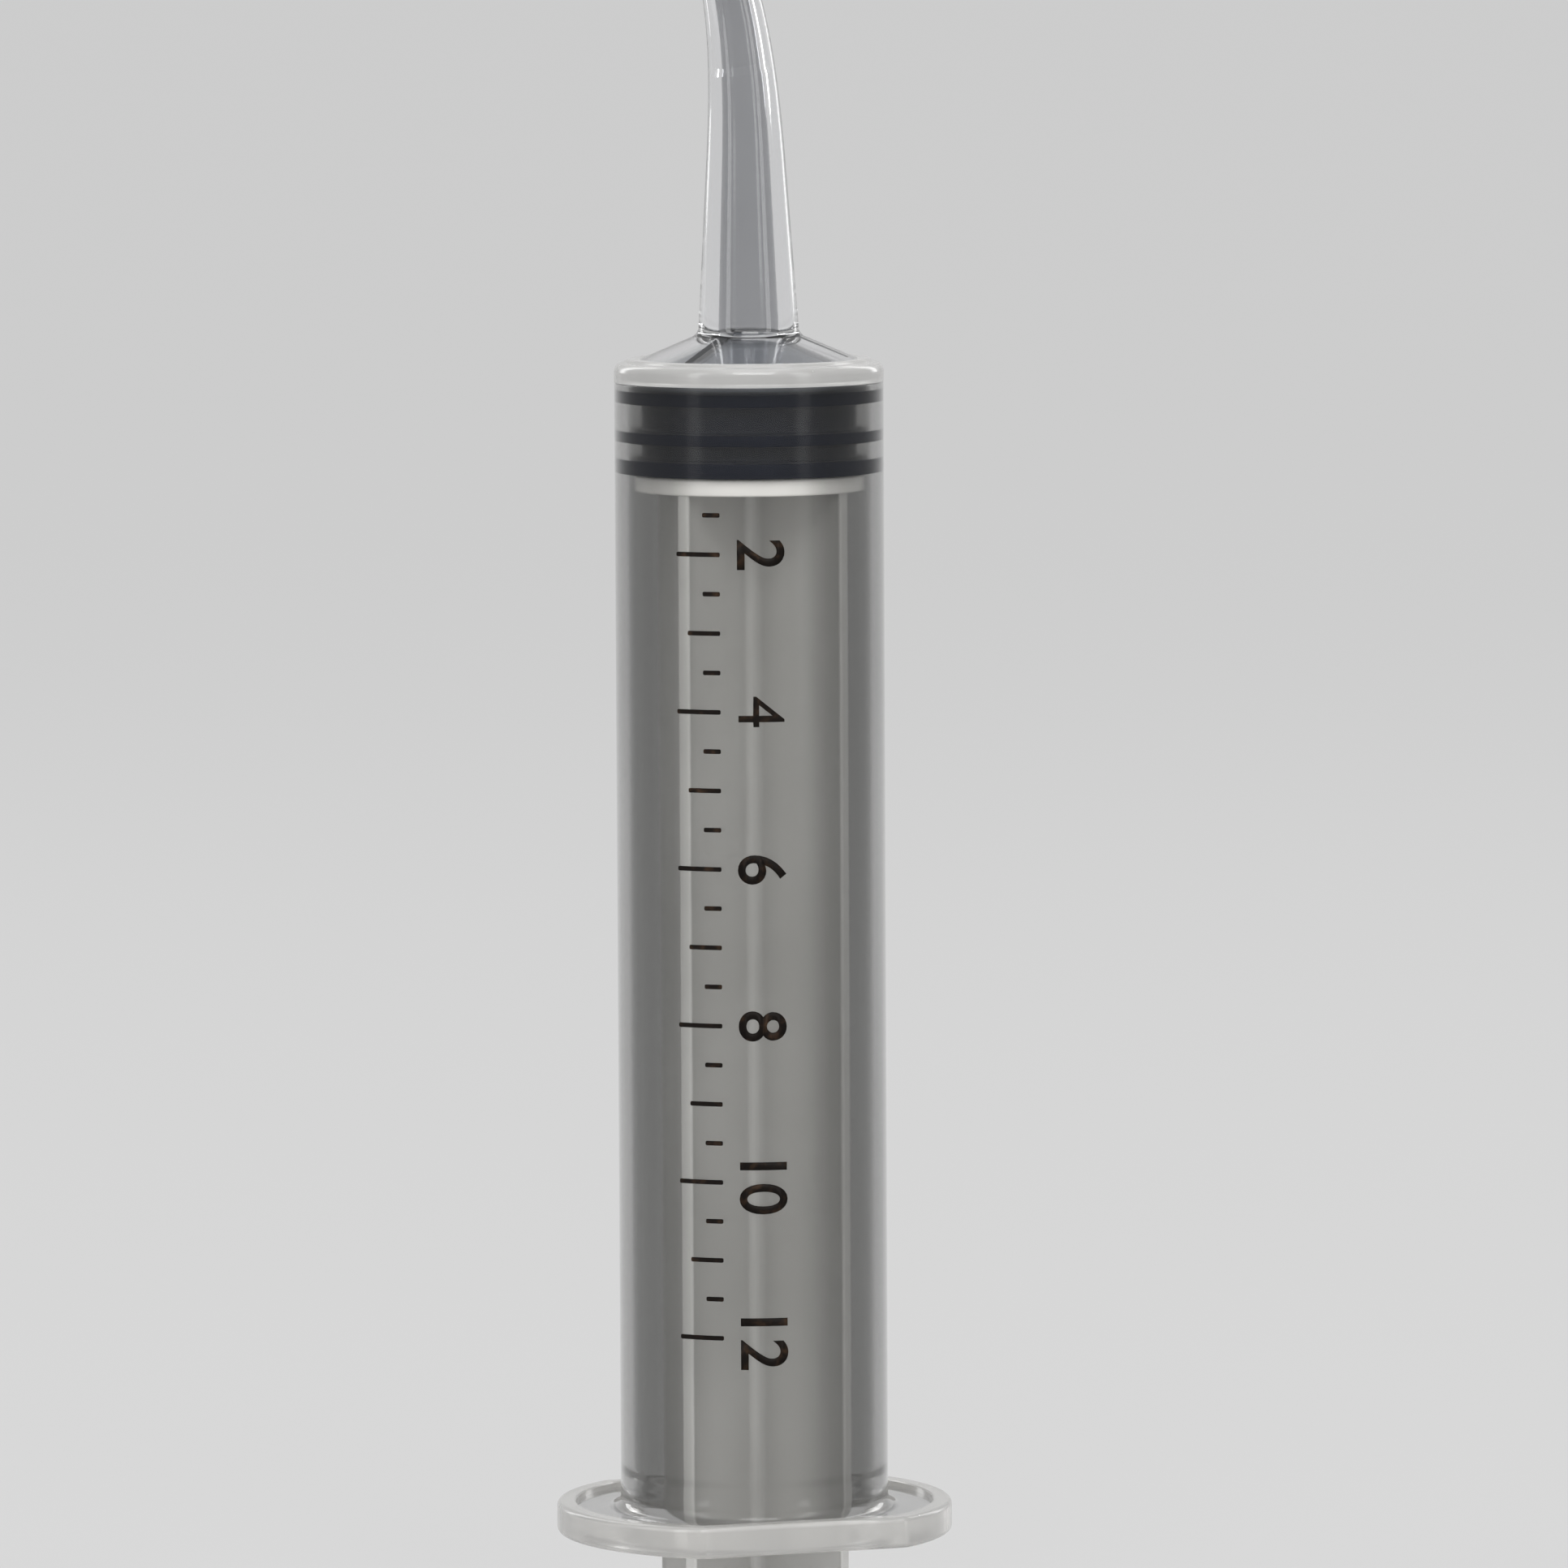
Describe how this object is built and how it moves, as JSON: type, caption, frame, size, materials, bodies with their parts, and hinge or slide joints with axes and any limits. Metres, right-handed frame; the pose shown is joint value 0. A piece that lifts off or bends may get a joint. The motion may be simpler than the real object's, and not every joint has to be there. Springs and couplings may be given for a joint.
{
  "type": "curved tip irrigation syringe",
  "caption": "Clear syringe with a curved, tapered nozzle moulded on its barrel, a ribbed rubber stopper, a cross-shaped plunger rod with a thumb rest, and a finger flange.",
  "frame": {"origin": "centre of the thumb rest's lower side, on the barrel's axis", "axes": "+Z along the barrel's axis towards the tip, which bends towards -X; -Y is the front"},
  "size_m": [0.026, 0.0252, 0.1242],
  "materials": {
    "barrel_plastic": "clear to slightly hazy moulded polypropylene, smooth",
    "stopper_rubber": "black moulded rubber, satin, slightly oiled",
    "rod_plastic": "translucent natural polypropylene, satin"
  },
  "bodies": {
    "barrel": {"barrel": "barrel_plastic"},
    "stopper": {"stopper": "stopper_rubber"},
    "plunger_rod": {"plunger_rod": "rod_plastic"}
  },
  "joints": [
    {"name": "plunger_slide", "type": "slide", "parent": "barrel", "child": "stopper", "axis": [0, 0, -1], "range_m": [0, 0.065]},
    {"name": "rod_spin", "type": "hinge", "parent": "stopper", "child": "plunger_rod", "pos_m": [0, 0, 0.083], "axis": [0, 0, 1], "continuous": true}
  ]
}
